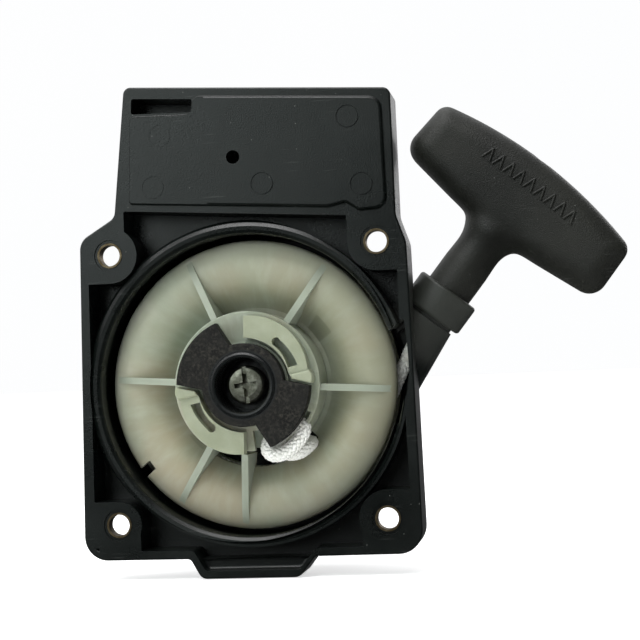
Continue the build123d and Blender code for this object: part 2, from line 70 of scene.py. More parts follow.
MM = 0.001
JOINTS = {joint["name"]: joint for joint in frame["joints"]}
PULL = Vector(JOINTS["handle_pull"]["axis"])          # the handle's axis, away from the case
SIDE = Vector((PULL.z, 0, -PULL.x))                   # across the grip, in its own plane


def middle(node):
    low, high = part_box(node)
    return (Vector(low) + Vector(high)) / 2


ROPE_DEPTH = middle("rope_in_handle").y
ROPE_RADIUS = 2.05 * MM
HANDLE_SIDE = middle("rope_in_handle").dot(SIDE)      # from the reel's axis to the handle's axis
BRAID_LAY = 13.0 * MM                                 # length of one turn of a strand


def on_handle(along, across=0.0, depth=0.0):
    """A point measured along and across the handle's axis, and back from the rope, in metres."""
    point = PULL * along + SIDE * (HANDLE_SIDE + across)
    return Vector((point.x, ROPE_DEPTH + depth, point.z))


# ---------- materials ----------

class Finish:
    """A node material under construction. Calls return output sockets."""

    def __init__(self, name):
        self.material = bpy.data.materials.new(name)
        self.material.use_nodes = True
        self.tree = self.material.node_tree
        self.shader = self.tree.nodes["Principled BSDF"]
        self.place = self.tree.nodes.new("ShaderNodeTexCoord").outputs["Object"]

    def node(self, kind, inputs=(), out=0, **settings):
        made = self.tree.nodes.new(kind)
        for key, value in settings.items():
            setattr(made, key, value)
        for key, value in dict(inputs).items():
            self.feed(made.inputs[key], value)
        return made.outputs[out]

    def feed(self, socket, value):
        if isinstance(value, bpy.types.NodeSocket):
            self.tree.links.new(value, socket)
        else:
            socket.default_value = value

    def math(self, operation, a, b=0.0, clamp=False):
        return self.node("ShaderNodeMath", {0: a, 1: b}, operation=operation, use_clamp=clamp)

    def scaled(self, amounts, turn=(0, 0, 0), shift=(0, 0, 0)):
        return self.node("ShaderNodeMapping", {"Vector": self.place, "Scale": amounts, "Rotation": turn,
                                               "Location": shift})

    def cloud(self, scale, detail=3.0, rough=0.55, place=None):
        inputs = {"Vector": place or self.place, "Scale": scale, "Detail": detail, "Roughness": rough}
        return self.node("ShaderNodeTexNoise", inputs)

    def measured(self, direction):
        """Distance from the origin in a direction."""
        inputs = {0: self.place, 1: tuple(direction)}
        return self.node("ShaderNodeVectorMath", inputs, "Value", operation="DOT_PRODUCT")

    def steps(self, value, *stops):
        """Colour ramp from (position, grey or colour) stops."""
        made = self.tree.nodes.new("ShaderNodeValToRGB")
        ramp = made.color_ramp
        while len(ramp.elements) < len(stops):
            ramp.elements.new(0.5)
        for element, (position, tone) in zip(ramp.elements, stops):
            element.position = position
            element.color = (tone, tone, tone, 1) if isinstance(tone, (int, float)) else (*tone, 1)
        self.tree.links.new(value, made.inputs[0])
        return made.outputs[0]

    def spread(self, value, low, high, to_low=0.0, to_high=1.0):
        return self.node("ShaderNodeMapRange", {0: value, 1: low, 2: high, 3: to_low, 4: to_high})

    def mix(self, amount, a, b):
        made = self.tree.nodes.new("ShaderNodeMix")
        made.data_type = "RGBA"
        for socket, value in zip((made.inputs[0], made.inputs[6], made.inputs[7]), (amount, a, b)):
            self.feed(socket, (*value, 1) if isinstance(value, tuple) and len(value) == 3 else value)
        return made.outputs[2]

    def bumped(self, height, distance, strength=1.0, under=None):
        inputs = {"Height": height, "Distance": distance, "Strength": strength}
        if under is not None:
            inputs["Normal"] = under
        return self.node("ShaderNodeBump", inputs)

    def done(self, **sockets):
        for key, value in sockets.items():
            name = key.replace("_", " ")
            socket = self.shader.inputs[name]
            if socket.type == "RGBA" and isinstance(value, tuple):
                value = (*value, 1)
            self.feed(socket, value)
        return self.material


DUST = (0.32, 0.33, 0.31)
DUST_SHARE = 0.05
RUBBED_BLACK = (0.16, 0.17, 0.16)
# Painted light: a lighter black for the outlet tube and its collar, standing in for light falling there.
OUTLET_PAINTED_LIGHT_LOW = (0.013, 0.0150, 0.0125)
OUTLET_PAINTED_LIGHT_HIGH = (0.027, 0.030, 0.0245)


def specks(finish, scale, share):
    """Sparse small dots, such as dust on dark plastic."""
    cells = finish.tree.nodes.new("ShaderNodeTexVoronoi")
    finish.tree.links.new(finish.place, cells.inputs["Vector"])
    cells.inputs["Scale"].default_value = scale
    near = finish.spread(cells.outputs["Distance"], 0.05, 0.13, 1.0, 0.0)
    pick = finish.node("ShaderNodeSeparateColor", {"Color": cells.outputs["Color"]})
    chosen = finish.math("GREATER_THAN", pick, 1.0 - share)
    return finish.math("MULTIPLY", near, chosen)


def scratches(finish, turn, density):
    """Short fine lines in one direction."""
    place = finish.scaled((60, 60, 2200), turn=turn)
    lines = finish.cloud(1.0, detail=2.0, place=place)
    patches = finish.cloud(90.0, detail=1.0)
    thin = finish.spread(lines, density, density + 0.03)
    where = finish.spread(patches, 0.55, 0.62)
    return finish.math("MULTIPLY", thin, where)


def on_outlet(f):
    """One on the outlet tube and its collar, nought on the rest of the case."""
    aside = f.math("ABSOLUTE", f.math("SUBTRACT", f.measured(SIDE), HANDLE_SIDE))
    beyond_wall = f.spread(f.measured(PULL), 0.031, 0.035)
    within_tube = f.spread(aside, 0.0085, 0.0095, 1.0, 0.0)
    behind_face = f.spread(f.measured((0, 1, 0)), 0.0008, 0.0018)
    return f.math("MULTIPLY", f.math("MULTIPLY", beyond_wall, within_tube), behind_face)


def black_plastic(name, dark, light, gloss, grain, paint_outlet_light=0.0):
    """Moulded black nylon: fine grain, cloudy sheen, dust and rubs, and a painted lighter tone on the outlet tube
    and its collar that stands in for light falling there.
    """
    f = Finish(name)
    clouds = f.cloud(38.0, detail=5.0)
    fine = f.cloud(2600.0, detail=2.0)
    tone = f.mix(f.spread(clouds, 0.35, 0.68), dark, light)
    dots = specks(f, 900.0, DUST_SHARE)
    rub = f.math("ADD", scratches(f, (0.3, 0.9, 0.2), 0.66), scratches(f, (0.1, -0.5, 1.2), 0.67), clamp=True)
    tone = f.mix(f.math("MULTIPLY", dots, 0.55), tone, DUST)
    tone = f.mix(f.math("MULTIPLY", rub, 0.12), tone, RUBBED_BLACK)
    rough = f.spread(clouds, 0.3, 0.75, gloss - 0.07, gloss + 0.10)
    rough = f.math("ADD", rough, f.math("MULTIPLY", fine, 0.06))
    # Painted light: the outlet tube and collar take a lighter black, standing in for light falling there; they are
    # also made rougher.
    outlet_painted_light_mask = f.math("MULTIPLY", on_outlet(f), paint_outlet_light)
    tone = f.mix(outlet_painted_light_mask, tone, f.mix(f.spread(clouds, 0.35, 0.68), OUTLET_PAINTED_LIGHT_LOW, OUTLET_PAINTED_LIGHT_HIGH))
    rough = f.math("ADD", rough, f.math("MULTIPLY", outlet_painted_light_mask, 0.16))
    bump = f.bumped(fine, grain)
    bump = f.bumped(clouds, 0.00012, 0.5, bump)
    return f.done(Base_Color=tone, Roughness=rough, Normal=bump, IOR=1.45)


def radius_from_axis(f):
    x_y_z = f.tree.nodes.new("ShaderNodeSeparateXYZ")
    f.tree.links.new(f.place, x_y_z.inputs[0])
    x, z = x_y_z.outputs["X"], x_y_z.outputs["Z"]
    squares = f.math("ADD", f.math("MULTIPLY", x, x), f.math("MULTIPLY", z, z))
    return f.math("SQRT", squares), x_y_z.outputs


def cam_plastic():
    """Filled black plastic, matte and speckled, with a polished lip round the bore."""
    f = Finish("cam_black")
    radius, _ = radius_from_axis(f)
    fine = f.cloud(3400.0, detail=3.0, rough=0.7)
    clouds = f.cloud(160.0, detail=4.0)
    coarse = f.cloud(1500.0, detail=2.0, rough=0.6)
    speckle = f.math("ADD", f.spread(coarse, 0.44, 0.74, 0.0, 0.75), f.spread(fine, 0.50, 0.75, 0.0, 0.45))
    tone = f.mix(speckle, (0.0015, 0.0015, 0.0011), (0.040, 0.037, 0.027))
    tone = f.mix(f.math("MULTIPLY", specks(f, 1100.0, 0.10), 0.5), tone, (0.20, 0.19, 0.15))
    tone = f.mix(f.spread(clouds, 0.40, 0.75), tone, (0.009, 0.009, 0.007))
    lip = f.spread(radius, 0.0092, 0.0096)
    tone = f.mix(lip, (0.006, 0.007, 0.007), tone)
    rough = f.spread(radius, 0.0090, 0.0096, 0.24, 0.72)
    return f.done(Base_Color=tone, Roughness=rough, Normal=f.bumped(fine, 0.00006), IOR=1.42)


# Darker parts seen through the nylon: heading in degrees, inner and outer radius, and strength.
GHOSTS = ((38, 0.0215, 0.0260, 0.55), (-138, 0.0190, 0.0235, 0.35))
GHOST_EDGE = 0.0003


def milky_nylon():
    """Unpigmented nylon: cloudy cream with greener and pinker patches, and faint flow lines from the hub."""
    f = Finish("reel_nylon")
    radius, axes = radius_from_axis(f)
    wander = f.cloud(70.0, detail=3.0)
    bent = f.math("ADD", radius, f.spread(wander, 0.3, 0.7, -0.0010, 0.0010))
    tone = f.steps(f.spread(bent, 0.0, 0.040),
                   (0.0, (0.22, 0.255, 0.20)), (0.41, (0.23, 0.265, 0.205)), (0.45, (0.27, 0.305, 0.24)),
                   (0.54, (0.27, 0.30, 0.23)), (0.62, (0.27, 0.29, 0.205)), (0.70, (0.325, 0.335, 0.24)),
                   (0.88, (0.335, 0.35, 0.26)), (1.0, (0.38, 0.40, 0.32)))
    warm = f.cloud(34.0, detail=2.0)
    tone = f.mix(f.spread(warm, 0.46, 0.68, 0.0, 0.60), tone, (0.35, 0.295, 0.20))
    green = f.cloud(48.0, detail=2.0, place=f.scaled((1, 1, 1), shift=(0.3, 0.1, 0.7)))
    tone = f.mix(f.spread(green, 0.50, 0.70, 0.0, 0.45), tone, (0.25, 0.32, 0.24))
    angle = f.math("ARCTAN2", axes["Z"], axes["X"])
    polar = {"X": f.math("MULTIPLY", radius, 120.0), "Y": f.math("MULTIPLY", angle, 9.0)}
    flow = f.cloud(1.0, detail=3.0, place=f.node("ShaderNodeCombineXYZ", polar))
    tone = f.mix(f.spread(flow, 0.45, 0.75, 0.0, 0.22), tone, (0.52, 0.55, 0.47))
    for heading, inner, outer, strength in GHOSTS:
        off = f.math("ABSOLUTE", f.math("SUBTRACT", angle, radians(heading)))
        beyond = f.spread(radius, inner - GHOST_EDGE, inner)
        patch = f.math("MULTIPLY", f.spread(off, 0.11, 0.13, 1.0, 0.0), beyond)
        patch = f.math("MULTIPLY", patch, f.spread(radius, outer, outer + GHOST_EDGE, strength, 0.0))
        tone = f.mix(patch, tone, (0.14, 0.15, 0.10))
    # Painted shade: the tone darkens and yellows towards the right side, away from the light.
    right_side_painted_shade = f.math("MULTIPLY", f.spread(axes["X"], 0.006, 0.040), 0.55)
    tone = f.mix(right_side_painted_shade, tone, (0.22, 0.215, 0.135))
    fine = f.cloud(1500.0, detail=2.0)
    rough = f.spread(f.cloud(120.0, detail=4.0), 0.3, 0.7, 0.34, 0.50)
    return f.done(Base_Color=tone, Roughness=rough, Normal=f.bumped(fine, 0.00002), IOR=1.5,
                  Subsurface_Weight=0.45, Subsurface_Radius=(0.95, 1.0, 0.8), Subsurface_Scale=0.005)


def cream_nylon():
    f = Finish("pawl_nylon")
    clouds = f.cloud(150.0, detail=4.0)
    fine = f.cloud(2100.0, detail=2.0)
    tone = f.mix(f.spread(clouds, 0.35, 0.7), (0.25, 0.275, 0.185), (0.31, 0.335, 0.24))
    return f.done(Base_Color=tone, Roughness=f.spread(clouds, 0.3, 0.7, 0.38, 0.52),
                  Normal=f.bumped(fine, 0.00003), Subsurface_Weight=0.3, Subsurface_Radius=(1.0, 0.9, 0.7),
                  Subsurface_Scale=0.002)


def metal(name, tone, stain, gloss, ring=0.0):
    """Plain or plated metal with turning marks and stains."""
    f = Finish(name)
    clouds = f.cloud(420.0, detail=5.0, rough=0.7)
    radius, _ = radius_from_axis(f)
    rings = f.node("ShaderNodeCombineXYZ", {"X": f.math("MULTIPLY", radius, 9000.0)})
    turned = f.cloud(1.0, detail=2.0, place=rings)
    blended = f.mix(f.spread(clouds, 0.42, 0.66), stain, tone)
    rough = f.spread(clouds, 0.3, 0.75, gloss + 0.16, gloss)
    bump = f.bumped(turned, 0.00001 * ring + 0.0000001)
    bump = f.bumped(clouds, 0.00003, 0.6, bump)
    return f.done(Base_Color=blended, Metallic=1.0, Roughness=rough, Normal=bump)


def rib_nylon():
    """The ribs stand in one thin wall, so they look bluer and lighter than the dish behind them."""
    f = Finish("reel_rib_nylon")
    clouds = f.cloud(110.0, detail=4.0)
    tone = f.mix(f.spread(clouds, 0.3, 0.7), (0.28, 0.31, 0.245), (0.34, 0.375, 0.30))
    return f.done(Base_Color=tone, Roughness=f.spread(clouds, 0.3, 0.7, 0.30, 0.44),
                  Normal=f.bumped(f.cloud(1500.0, detail=2.0), 0.00002), Subsurface_Weight=0.4,
                  Subsurface_Radius=(0.8, 1.0, 0.95), Subsurface_Scale=0.003)


def fibre_tone(f, fibres, soil):
    tone = f.mix(f.spread(fibres, 0.35, 0.68), (0.72, 0.72, 0.66), (0.97, 0.98, 0.94))
    return f.mix(f.spread(soil, 0.55, 0.78, 0.0, 0.5), tone, (0.46, 0.42, 0.32))


def strand_nylon():
    """Silky fibre bundles of the rope's braid, along each strand's own length."""
    f = Finish("rope_strand")
    uv = f.tree.nodes.new("ShaderNodeTexCoord").outputs["UV"]
    along = f.node("ShaderNodeMapping", {"Vector": uv, "Scale": (26.0, 0.6, 1.0)})
    fibres = f.cloud(1.0, detail=3.0, place=along)
    tone = fibre_tone(f, fibres, f.cloud(240.0, detail=3.0))
    return f.done(Base_Color=tone, Roughness=0.30, Normal=f.bumped(fibres, 0.00006), Sheen_Weight=0.25)


def woven(f, along, around):
    """Height of a plain braid, from the distance along the rope in metres and the angle round it."""
    count = 8.0
    u = f.math("MULTIPLY", around, count / (2 * pi))
    v = f.math("MULTIPLY", along, count / BRAID_LAY)
    a = f.math("ADD", u, v)
    b = f.math("SUBTRACT", u, v)
    over = f.math("FLOORED_MODULO", f.math("ADD", f.math("FLOOR", a), f.math("FLOOR", b)), 2.0)
    crown_a = f.math("SINE", f.math("MULTIPLY", f.math("FRACT", a), pi))
    crown_b = f.math("SINE", f.math("MULTIPLY", f.math("FRACT", b), pi))
    upper = f.mix(over, crown_a, crown_b)
    return f.math("POWER", upper, 0.6)


def woven_finish(f, along, around):
    height = woven(f, along, around)
    fibres = f.cloud(5200.0, detail=2.0)
    tone = fibre_tone(f, fibres, f.cloud(240.0, detail=3.0))
    # Painted shade: the tone goes dark brown in the low gaps between the braid's strands.
    tone = f.mix(f.spread(height, 0.15, 0.8), (0.12, 0.11, 0.08), tone)
    bump = f.bumped(height, 0.0003)
    bump = f.bumped(fibres, 0.00004, 0.6, bump)
    return f.done(Base_Color=tone, Roughness=0.42, Normal=bump, Sheen_Weight=0.25)


def straight_rope_nylon():
    """Braid pattern for the straight stretch on the handle's axis."""
    f = Finish("rope_straight")
    depth = f.math("SUBTRACT", f.measured((0, 1, 0)), ROPE_DEPTH)
    side = f.math("SUBTRACT", f.measured(SIDE), HANDLE_SIDE)
    return woven_finish(f, f.measured(PULL), f.math("ARCTAN2", depth, side))


def wound_rope_nylon():
    """Braid pattern for the turns on the reel, which lie one outside the other."""
    f = Finish("rope_wound")
    radius, axes = radius_from_axis(f)
    outer, step = 35.7 * MM, 3.6 * MM
    turn = f.math("ROUND", f.math("DIVIDE", f.math("SUBTRACT", outer, radius), step))
    middle_radius = f.math("SUBTRACT", outer, f.math("MULTIPLY", turn, step))
    along = f.math("MULTIPLY", f.math("ARCTAN2", axes["Z"], axes["X"]), middle_radius)
    depth = f.math("SUBTRACT", axes["Y"], ROPE_DEPTH)
    around = f.math("ARCTAN2", depth, f.math("SUBTRACT", radius, middle_radius))
    return woven_finish(f, along, around)


FINISHES = {
    "black_nylon": black_plastic("case_plastic", (0.0014, 0.0024, 0.0020), (0.0045, 0.0064, 0.0056),
                                 0.27, 0.00005, paint_outlet_light=1.0),
    "cam_black": cam_plastic(),
    "reel_nylon": milky_nylon(),
    "pawl_nylon": cream_nylon(),
    "zinc_steel": metal("zinc_steel", (0.48, 0.48, 0.40), (0.20, 0.20, 0.155), 0.34, 1.0),
    "dark_steel": metal("dark_steel", (0.05, 0.05, 0.05), (0.02, 0.02, 0.02), 0.30, 1.0),
    "spring_steel": metal("spring_steel", (0.24, 0.26, 0.30), (0.10, 0.10, 0.11), 0.22),
    "brass": metal("bush_metal", (0.24, 0.19, 0.12), (0.12, 0.09, 0.05), 0.38),
    "rope_nylon": strand_nylon(),
}
GRIP_PLASTIC = black_plastic("grip_plastic", (0.0050, 0.0056, 0.0040), (0.0135, 0.0145, 0.0108),
                             0.46, 0.00012)


def dress(thing, finish):
    thing.data.materials.clear()
    thing.data.materials.append(finish)


def finish_frame():
    """Every CAD node takes the finish of its own slot, and the wound rope its own braid."""
    for part in frame["record"]["subparts"]:
        thing = frame["nodes"][part["node"]]
        finish = FINISHES[part["material_slot"]]
        if part["node"] == "rope_windings":
            finish = wound_rope_nylon()
        for k in range(len(thing.data.materials)):
            thing.data.materials[k] = finish
        if not thing.data.materials:
            thing.data.materials.append(finish)


# ---------- meshes ----------

def shown(name, mesh):
    thing = bpy.data.objects.new(name, mesh)
    bpy.context.scene.collection.objects.link(thing)
    return thing


def welded(node, crease=32):
    """A CAD node's shape as one joined mesh, smooth except where it turns by more than the crease angle."""
    made = bmesh.new()
    made.from_mesh(frame["nodes"][node].data)
    bmesh.ops.remove_doubles(made, verts=made.verts, dist=1e-6)
    for face in made.faces:
        face.smooth = True
    for edge in made.edges:
        edge.smooth = edge.is_manifold and edge.calc_face_angle(0) < radians(crease)
    mesh = bpy.data.meshes.new(node + "_joined")
    made.to_mesh(mesh)
    made.free()
    return mesh


def settled(thing, name):
    """The thing with its modifiers made plain mesh."""
    graph = bpy.context.evaluated_depsgraph_get()
    mesh = bpy.data.meshes.new_from_object(thing.evaluated_get(graph))
    mesh.name = name
    bpy.data.objects.remove(thing)
    return shown(name, mesh)


def belongs(thing, body, slot, finish, *nodes):
    dress(thing, finish)
    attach(thing, body)
    if nodes:
        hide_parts(*nodes)
    return thing


# ---------- geometry node trees ----------

class Tree:
    """A geometry node tree under construction, with named inputs for its sizes."""

    def __init__(self, name, **sizes):
        self.group = bpy.data.node_groups.new(name, "GeometryNodeTree")
        self.sockets = {}
        interface = self.group.interface
        interface.new_socket("Geometry", in_out="INPUT", socket_type="NodeSocketGeometry")
        for key, value in sizes.items():
            kind = "NodeSocketInt" if isinstance(value, int) else "NodeSocketFloat"
            socket = interface.new_socket(key, in_out="INPUT", socket_type=kind)
            socket.default_value = value
            self.sockets[key] = socket.identifier
        interface.new_socket("Geometry", in_out="OUTPUT", socket_type="NodeSocketGeometry")
        self.given = self.group.nodes.new("NodeGroupInput").outputs
        self.result = self.group.nodes.new("NodeGroupOutput").inputs[0]

    def node(self, kind, inputs=(), out=0, **settings):
        made = self.group.nodes.new(kind)
        for key, value in settings.items():
            setattr(made, key, value)
        for key, value in dict(inputs).items():
            if isinstance(value, bpy.types.NodeSocket):
                self.group.links.new(value, made.inputs[key])
            else:
                made.inputs[key].default_value = value
        return made.outputs[out]

    def math(self, operation, a, b=0.0):
        return self.node("ShaderNodeMath", {0: a, 1: b}, operation=operation)

    def vector(self, operation, a, b=None, scale=None):
        inputs = {0: a}
        if b is not None:
            inputs[1] = b
        if scale is not None:
            inputs["Scale"] = scale
        return self.node("ShaderNodeVectorMath", inputs, operation=operation)

    def captured(self, geometry, kind, value):
        made = self.group.nodes.new("GeometryNodeCaptureAttribute")
        made.capture_items.new(kind, "kept")
        self.group.links.new(geometry, made.inputs[0])
        self.group.links.new(value, made.inputs[1])
        return made.outputs[0], made.outputs[1]

    def joined(self, *pieces):
        made = self.node("GeometryNodeJoinGeometry")
        for piece in pieces:
            self.group.links.new(piece, made.node.inputs[0])
        return made

    def finish(self, geometry, material):
        plain = self.node("GeometryNodeRealizeInstances", {"Geometry": geometry})
        coated = self.node("GeometryNodeSetMaterial", {"Geometry": plain, "Material": material})
        self.group.links.new(coated, self.result)

    def grow(self, thing, name, **sizes):
        """The tree's result on the thing as plain mesh."""
        modifier = thing.modifiers.new("tree", "NODES")
        modifier.node_group = self.group
        for key, value in sizes.items():
            modifier[self.sockets[key]] = value
        return settled(thing, name)


# ---------- rope ----------

def rope_curve(name, route):
    curve = bpy.data.curves.new(name, "CURVE")
    curve.dimensions = "3D"
    spline = curve.splines.new("NURBS")
    spline.points.add(len(route) - 1)
    for point, place in zip(spline.points, route):
        point.co = (*place, 1)
    spline.order_u = 3
    spline.use_endpoint_u = True
    spline.resolution_u = 16
    return shown(name, curve)


def braid_tree():
    """Round braid: strands wound both ways round a core, passing over and under each other."""
    t = Tree("round_braid", strands=16, rope_radius=ROPE_RADIUS, lay=BRAID_LAY, strand_width=0.62 * MM,
             strand_height=0.34 * MM, weave=0.20 * MM, step=0.42 * MM)
    given = t.given
    steps = {"Curve": given["Geometry"], "Length": given["step"]}
    path = t.node("GeometryNodeResampleCurve", steps, mode="LENGTH")
    copies = t.group.nodes.new("GeometryNodeDuplicateElements")
    copies.domain = "SPLINE"
    t.group.links.new(path, copies.inputs["Geometry"])
    t.group.links.new(given["strands"], copies.inputs["Amount"])
    which = copies.outputs["Duplicate Index"]
    half = t.math("DIVIDE", given["strands"], 2.0)
    way = t.math("SUBTRACT", t.math("MULTIPLY", t.math("LESS_THAN", which, half), 2.0), 1.0)
    travel = t.node("GeometryNodeSplineParameter", out="Length")
    turns = t.math("DIVIDE", t.math("MULTIPLY", travel, 2 * pi), given["lay"])
    phase = t.math("DIVIDE", t.math("MULTIPLY", which, 2 * pi), half)
    angle = t.math("ADD", t.math("MULTIPLY", way, turns), phase)
    normal = t.node("GeometryNodeInputNormal")
    tangent = t.node("GeometryNodeInputTangent")
    across = t.vector("CROSS_PRODUCT", tangent, normal)
    outward = t.vector("ADD", t.vector("SCALE", normal, scale=t.math("COSINE", angle)),
                       t.vector("SCALE", across, scale=t.math("SINE", angle)))
    strands, outward = t.captured(copies.outputs["Geometry"], "VECTOR", outward)
    over = t.math("MULTIPLY", way, t.math("COSINE", t.math("MULTIPLY", half, turns)))
    crown = t.math("SUBTRACT", given["rope_radius"], given["strand_height"])
    ring = t.math("SUBTRACT", crown, given["weave"])
    reach = t.math("ADD", ring, t.math("MULTIPLY", over, given["weave"]))
    offset = t.vector("SCALE", outward, scale=reach)
    strands = t.node("GeometryNodeSetPosition", {"Geometry": strands, "Offset": offset})
    strands = t.node("GeometryNodeSetCurveNormal", {"Curve": strands, "Normal": outward}, mode="FREE")
    strands, run = t.captured(strands, "FLOAT", t.node("GeometryNodeSplineParameter", out="Length"))
    section = t.node("GeometryNodeCurvePrimitiveCircle", {"Resolution": 6, "Radius": 1.0})
    section, around = t.captured(section, "FLOAT", t.node("GeometryNodeSplineParameter", out="Factor"))
    shape = t.node("ShaderNodeCombineXYZ", {0: given["strand_height"], 1: given["strand_width"], 2: 1.0})
    section = t.node("GeometryNodeTransform", {"Geometry": section, "Scale": shape})
    swept = {"Curve": strands, "Profile Curve": section, "Fill Caps": True}
    bundle = t.node("GeometryNodeCurveToMesh", swept)
    round_core = t.node("GeometryNodeCurvePrimitiveCircle", {"Resolution": 12, "Radius": ring})
    core = t.node("GeometryNodeCurveToMesh", {"Curve": path, "Profile Curve": round_core, "Fill Caps": True})
    soft = t.node("GeometryNodeSetShadeSmooth", {"Geometry": t.joined(core, bundle)})
    along = t.node("ShaderNodeCombineXYZ", {0: around, 1: t.math("DIVIDE", run, MM), 2: 0.0})
    mapped = t.node("GeometryNodeStoreNamedAttribute", {"Geometry": soft, "Name": "UVMap", "Value": along},
                    data_type="FLOAT2", domain="CORNER")
    t.finish(mapped, FINISHES["rope_nylon"])
    return t


def lead_point(along):
    """A point on the line by which the rope leaves the reel, measured from the winding."""
    start = Vector((32.09, 0, -15.65)) * MM
    heading = Vector((0.4384, 0, 0.8988))
    point = start + heading * along
    return Vector((point.x, ROPE_DEPTH, point.z))


def rope_lead(tree):
    """From the winding through the gap, the eyelet and the tube, up to the foot of the stem."""
    corner = Vector((45.9, 0, 12.7)) * MM
    corner.y = ROPE_DEPTH
    route = [lead_point(2 * MM), lead_point(12 * MM), corner, on_handle(42 * MM), on_handle(48.2 * MM)]
    thing = tree.grow(rope_curve("lead_line", route), "rope_lead_braid")
    return belongs(thing, "case", "rope_nylon", FINISHES["rope_nylon"], "rope_lead")


REEL_KNOT = [
    (15.4, 11.0, -16.6), (15.6, 6.5, -17.0), (13.4, 4.4, -19.0), (9.2, 4.3, -19.4), (6.6, 4.3, -16.0),
    (9.6, 4.2, -12.9), (13.6, 3.0, -10.6), (15.7, 1.5, -12.4), (13.4, 0.8, -16.0), (9.9, 0.7, -18.9),
    (6.2, 1.1, -19.6), (4.2, 2.3, -17.2), (5.8, 3.9, -14.2),
]


def reel_knot(tree):
    """The rope's end, brought up through the window and hitched round itself beside the wing."""
    route = [Vector(point) * MM for point in REEL_KNOT]
    thing = tree.grow(rope_curve("knot_line", route), "reel_knot_braid", step=0.34 * MM, lay=12.0 * MM,
                      strand_width=0.66 * MM)
    return belongs(thing, "reel", "rope_nylon", FINISHES["rope_nylon"], "rope_reel_knot")


def pulled_rope():
    """The stretch of rope inside the stem, which pays out behind the handle when it is pulled."""
    first, last = 48.0 * MM, 84.8 * MM
    spans = 110
    sides = 24
    made = bmesh.new()
    rings = []
    for k in range(spans + 1):
        along = first + (last - first) * k / spans
        ring = []
        for n in range(sides):
            a = 2 * pi * n / sides
            ring.append(made.verts.new(on_handle(along, ROPE_RADIUS * cos(a), ROPE_RADIUS * sin(a))))
        rings.append(ring)
    for low, high in zip(rings, rings[1:]):
        for n in range(sides):
            beside = (n + 1) % sides
            made.faces.new((low[n], low[beside], high[beside], high[n])).smooth = True
    made.faces.new(rings[0])
    made.faces.new(rings[-1])
    bmesh.ops.recalc_face_normals(made, faces=made.faces)
    mesh = bpy.data.meshes.new("pulled_rope")
    made.to_mesh(mesh)
    made.free()
    thing = shown("pulled_rope", mesh)
    dress(thing, straight_rope_nylon())
    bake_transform(thing)
    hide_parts("rope_in_handle")
    return thing


# ---------- handle ----------

JUNCTION = 72.4 * MM          # where the stem meets the grip, along the handle's axis
JUNCTION_REACH = 11.5 * MM    # how far along the axis the rounding goes
JUNCTION_SPREAD = 15.0 * MM   # how far out from the axis it goes
BORE_EDGE = 3.5 * MM          # inside this radius the rope's hole keeps its shape


def inside(value, limit, border):
    """One well within the limit, fading to nought at it."""
    return min(1.0, max(0.0, (limit - value) / border))


def t_handle():
    """The grip and stem as one soft moulding, with a generous round where they meet."""
    thing = shown("handle_raw", welded("handle_grip"))
    remesh = thing.modifiers.new("remesh", "REMESH")
    remesh.mode = "VOXEL"
    remesh.voxel_size = 0.42 * MM
    thing = settled(thing, "t_handle")
    group = thing.vertex_groups.new(name="junction")
    for v in thing.data.vertices:
        along = v.co.dot(PULL)
        across = v.co.dot(SIDE) - HANDLE_SIDE
        reach = hypot(across, v.co.y - ROPE_DEPTH)
        fade = inside(abs(along - JUNCTION), JUNCTION_REACH, 5 * MM)
        fade *= inside(reach, JUNCTION_SPREAD, 4 * MM)
        if fade > 0 and reach > BORE_EDGE:
            group.add([v.index], fade, "REPLACE")
    blended = thing.modifiers.new("junction", "SMOOTH")
    blended.factor = 0.6
    blended.iterations = 160
    blended.vertex_group = "junction"
    soften = thing.modifiers.new("soften", "SMOOTH")
    soften.factor = 0.5
    soften.iterations = 8
    thing = settled(thing, "t_handle")
    thing.vertex_groups.clear()
    thing.data.polygons.foreach_set("use_smooth", [True] * len(thing.data.polygons))
    return belongs(thing, "handle", "black_nylon", GRIP_PLASTIC, "handle_grip")


def chevron_tree():
    """A row of raised chevrons, pointing the way the handle is pulled."""
    t = Tree("chevron_row", count=9, pitch=3.45 * MM, half_width=1.25 * MM, height=3.5 * MM,
             thickness=0.40 * MM)
    given = t.given
    low = t.math("MULTIPLY", given["height"], -0.5)
    high = t.math("MULTIPLY", given["height"], 0.5)
    left = t.node("ShaderNodeCombineXYZ", {0: t.math("MULTIPLY", given["half_width"], -1.0), 1: low})
    right = t.node("ShaderNodeCombineXYZ", {0: given["half_width"], 1: low})
    tip = t.node("ShaderNodeCombineXYZ", {0: 0.0, 1: high})
    strokes = []
    for start, end in ((left, tip), (tip, right)):
        ends = {"Start": start, "Start Handle": start, "End Handle": end, "End": end, "Resolution": 10}
        strokes.append(t.node("GeometryNodeCurvePrimitiveBezierSegment", ends))
    section = t.node("GeometryNodeCurvePrimitiveCircle", {"Resolution": 8, "Radius": given["thickness"]})
    bar = t.node("GeometryNodeCurveToMesh", {"Curve": t.joined(*strokes), "Profile Curve": section,
                                             "Fill Caps": True})
    step = t.node("ShaderNodeCombineXYZ", {0: given["pitch"]})
    row = t.node("GeometryNodeMeshLine", {"Count": given["count"], "Offset": step}, mode="OFFSET")
    placed = t.node("GeometryNodeInstanceOnPoints", {"Points": row, "Instance": bar})
    t.finish(t.node("GeometryNodeSetShadeSmooth", {"Geometry": placed}), GRIP_PLASTIC)
    return t


ROW_TILT = radians(2.0)
ROW_ACROSS, ROW_ALONG = -12.2 * MM, 89.3 * MM     # where the row of chevrons starts
ROW_BOW = 0.0016                                  # its bend, in mm for each square mm of distance
ROW_SUNK = 0.02 * MM


